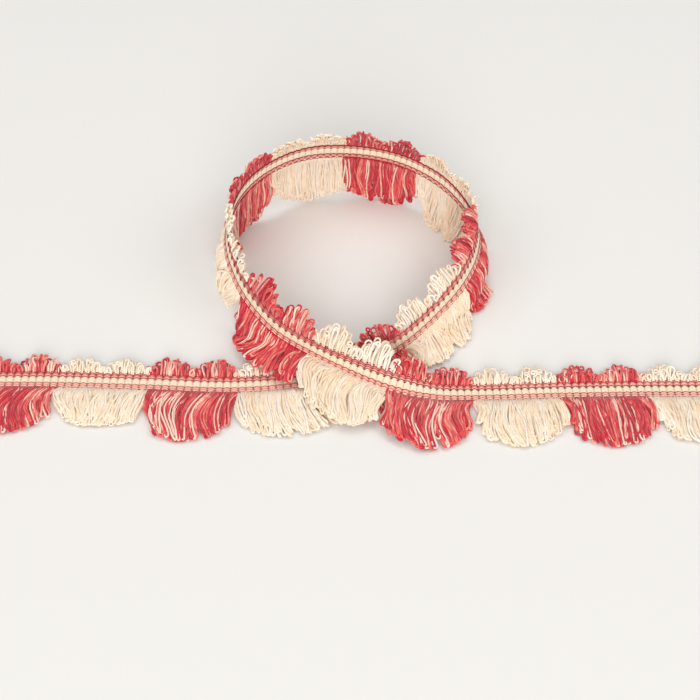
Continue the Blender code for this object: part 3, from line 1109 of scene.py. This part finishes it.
# Dark warp threads: the face they run on (1) or the back (-1), place across from the upper
# edge, height over the middle plane and how far they sink at the ribs, radius, how far they
# wave across, then their tone (dark 0 to pale 1) on the left run, where the loop rises, on
# the strand that crosses over, and on the right run and at its end
TONE_COLUMNS = ("left", "rise", "over", "right", "end")
TONE_AT = (2.0, 5.0, 12.5, 14.8, 16.4)
THREAD_COLUMNS = ("face", "across", "lift", "dip", "thick", "wave", *TONE_COLUMNS)
THREADS = (
    (1, -0.4, 0.50, 0.0, 0.32, 0.42, 0.42, 0.3, 0.25, 0.4, 0.3),
    (1, 0.55, 0.52, 0.0, 0.22, 0.3, 0.3, 0.3, 0.22, 0.3, 0.3),
    (1, 1.4, 0.7, 0.1, 0.18, 0.26, 0.62, 0.75, 0.35, 0.8, 0.85),
    (1, 2.4, 0.54, 0.1, 0.22, 0.26, 0.35, 0.25, 0.25, 0.2, 0.15),
    (1, 3.0, 0.50, 0.24, 0.23, 0.26, 0.8, 0.2, 0.1, 0.08, 0.08),
    (1, 6.05, 0.54, 0.1, 0.2, 0.26, 0.5, 0.4, 0.25, 0.35, 0.2),
    (1, 7.4, 0.5, 0.12, 0.16, 0.26, 0.66, 0.5, 0.35, 0.62, 0.4),
    (1, 8.5, 0.52, 0.16, 0.23, 0.26, 0.3, 0.35, 0.2, 0.2, 0.4),
    (-1, 0.4, 0.56, 0.0, 0.34, 0.26, 0.12, 0.12, 0.12, 0.12, 0.12),
    (-1, 2.3, 0.46, 0.1, 0.18, 0.26, 0.6, 0.6, 0.6, 0.6, 0.6),
    (-1, 6.2, 0.52, 0.1, 0.25, 0.26, 0.15, 0.15, 0.15, 0.15, 0.15),
    (-1, 8.4, 0.56, 0.0, 0.33, 0.26, 0.1, 0.1, 0.1, 0.1, 0.1),
)
THREAD_SIDES = 4

# How much higher the threads are on a rib than halfway to the next one, and how much paler they are
# painted there: painted light where they ride high, painted shade where they sink between ribs
BEAT_LIFT = 0.06
BEAT_PAINTED_LIGHT = 0.1


def warp_threads():
    """The dark threads that run the heading's length and rise and sink with its ribs."""
    tubes = Tubes(sides=THREAD_SIDES)
    at, rib = heading_places()
    beat = np.cos(TURN * rib)
    p, _, across, out = station(at)
    for row in THREADS:
        t = dict(zip(THREAD_COLUMNS, row))
        w = t["across"] - HEAD_WIDE / 2 - t["wave"] * beat
        lift = t["lift"] + BEAT_LIFT * beat - t["dip"] * (0.5 + 0.5 * beat)
        line = p + w[:, None] * across + (t["face"] * lift)[:, None] * out
        line = over_table(line, t["thick"])
        # Painted light and shade: the tone rises on the ribs and falls between them.
        tone = np.interp(at, TONE_AT, [t[name] for name in TONE_COLUMNS]) + BEAT_PAINTED_LIGHT * beat
        tone = np.repeat(np.clip(tone, 0, 1), THREAD_SIDES)
        tubes.add(line, out * t["face"], t["thick"], tone)
    return tubes


heading = woven_heading()
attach(heading, "root")
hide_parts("heading")
threads = warp_threads().build("warp_threads", THREAD)
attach(threads, "root")

for fan in range(FANS):
    material, slot = (RED, "red_yarn") if fan % 2 == 0 else (CREAM, "cream_yarn")
    for kind, maker, cad in (("loops", long_loops, "fan"), ("tufts", short_loops, "scallops")):
        made = maker(fan).build(f"{kind}_{fan + 1:02d}", material)
        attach(made, "root")
        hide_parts(f"{cad}_{fan + 1:02d}")


# Table, light and camera, in metres
TABLE_SIZE = 16.0
TABLE_WHITE = srgb(231, 229, 225)
ROOM_LIGHT = (1.0, 0.995, 0.985, 1.0)
ROOM_STRENGTH = 0.41

# Each soft light's name, place, aim, width and power in watts
SOFT_LIGHTS = (
    ("left_softbox", (-1.6, -0.4, 1.6), (0, 0.02, 0), 1.4, 10.5),
    ("right_softbox", (1.6, -0.4, 1.6), (0, 0.02, 0), 1.4, 10.5),
    ("front_softbox", (0.0, -2.2, 1.1), (0, 0.02, 0), 1.6, 37.5),
    ("overhead_softbox", (0.0, 0.7, 1.9), (0, 0.05, 0), 1.6, 9.4),
)

# The camera stands ELEVATION above the table, seen from the lay's own origin. That point is
# shown ORIGIN_BELOW pixels under the picture's middle, where a pixel is METRES_A_PIXEL wide.
# The sensor is in millimetres.
ELEVATION = math.radians(48.0)
PICTURE_PIXELS = 700
FOCAL_PIXELS = 1546
METRES_A_PIXEL = 0.000418
ORIGIN_BELOW = 35
SENSOR = 36.0


def add_table():
    """The plain pale table top, which isn't part of the object."""
    bpy.ops.mesh.primitive_plane_add(size=TABLE_SIZE, location=(0, 0, 0))
    table_top = bpy.context.object
    table_top.name = "table_top"
    white, _, shader = matt_material("table_white", sheen=0.0, specular=0.1)
    shader.inputs["Base Color"].default_value = (*TABLE_WHITE, 1.0)
    table_top.data.materials.append(white)


def add_room_light():
    """Even light from all around."""
    world = bpy.data.worlds.new("studio")
    world.use_nodes = True
    background = world.node_tree.nodes["Background"]
    background.inputs[0].default_value = ROOM_LIGHT
    background.inputs[1].default_value = ROOM_STRENGTH
    bpy.context.scene.world = world


def add_soft_light(name, place, aim, size, power):
    """A round area light, turned from its place to its aim."""
    light = bpy.data.lights.new(name, "AREA")
    light.shape = "DISK"
    light.size = size
    light.energy = power
    made = add_object(name, light)
    made.location = place
    made.rotation_euler = (Vector(aim) - Vector(place)).to_track_quat("-Z", "Y").to_euler()


def add_camera():
    """The camera at the photograph's viewing angle."""
    camera = bpy.data.cameras.new("camera")
    camera.sensor_width = SENSOR
    camera.lens = SENSOR * FOCAL_PIXELS / PICTURE_PIXELS
    camera.clip_start = 0.05
    camera.clip_end = 20
    distance = FOCAL_PIXELS * METRES_A_PIXEL
    pitch = ELEVATION - math.atan(ORIGIN_BELOW / FOCAL_PIXELS)
    look = Vector((0, math.cos(pitch), -math.sin(pitch)))
    view = add_object("camera", camera)
    view.location = (-BASE_MID[0] * MM,
                     -BASE_MID[1] * MM - distance * math.cos(ELEVATION),
                     distance * math.sin(ELEVATION))
    view.rotation_euler = look.to_track_quat("-Z", "Y").to_euler()
    bpy.context.scene.camera = view


add_table()
add_room_light()
for soft_light in SOFT_LIGHTS:
    add_soft_light(*soft_light)
add_camera()
bpy.context.scene.view_settings.view_transform = "Standard"
